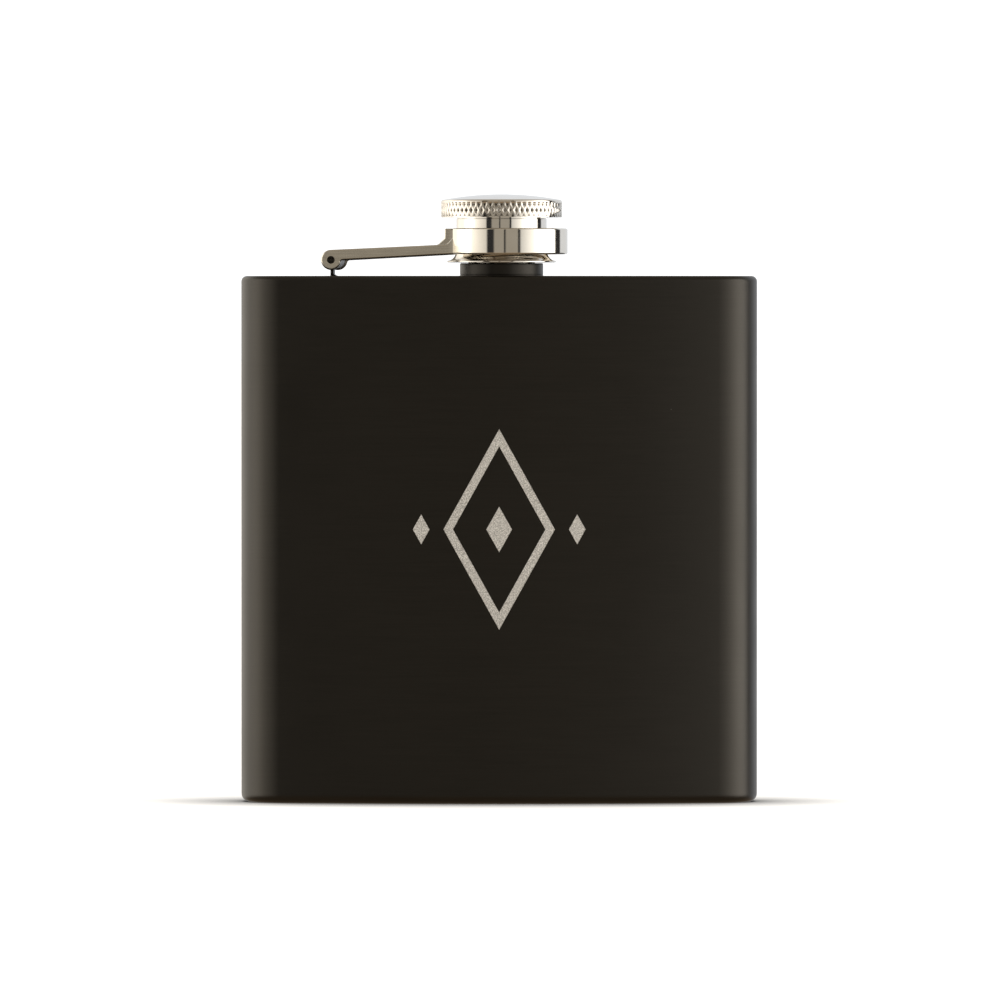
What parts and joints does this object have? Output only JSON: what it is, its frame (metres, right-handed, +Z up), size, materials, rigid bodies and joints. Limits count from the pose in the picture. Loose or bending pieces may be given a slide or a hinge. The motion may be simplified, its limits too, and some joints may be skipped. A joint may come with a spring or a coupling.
{
  "type": "hip flask",
  "caption": "Kidney-shaped metal hip flask with a matt black coat and a knurled screw cap held by a hinged strap.",
  "frame": {"origin": "on the ground under the middle of the object's box", "axes": "+Z up, +X to the right as the front is seen, +Y towards the hollow back; the bulging front faces -Y"},
  "size_m": [0.093, 0.0272, 0.1095],
  "materials": {
    "black_coat": "matt black coat with a fine sideways grain",
    "polished_steel": "polished stainless steel",
    "strap_steel": "polished ring with brushed legs",
    "plain_steel": "turned stainless steel",
    "silicone": "matt translucent white silicone"
  },
  "bodies": {
    "flask": {"body_wall": "black_coat", "top_plate": "black_coat", "bottom_plate": "black_coat", "neck_collar": "black_coat", "neck_tube": "plain_steel", "hinge_lug": "black_coat", "hinge_pin": "black_coat"},
    "strap": {"cap_strap": "strap_steel"},
    "seal": {"cap_seal": "silicone"},
    "cap": {"cap_shell": "polished_steel", "cap_core": "polished_steel", "cap_insert": "plain_steel"}
  },
  "joints": [
    {"name": "strap_swing", "type": "hinge", "parent": "flask", "child": "strap", "pos_m": [-0.02972, 0.00071, 0.09768], "axis": [-0.101, -0.9949, 0], "range_deg": [0, 180]},
    {"name": "cap_lift", "type": "slide", "parent": "strap", "child": "seal", "axis": [0, 0, 1], "range_m": [0, 0.00076]},
    {"name": "cap_turn", "type": "hinge", "parent": "seal", "child": "cap", "pos_m": [0.00043, -0.00235, 0.104], "axis": [0, 0, 1], "range_deg": [0, 270]}
  ],
  "couplings": [
    {"joint": "cap_lift", "follows": "cap_turn", "m_per_rad": 0.00015915}
  ]
}
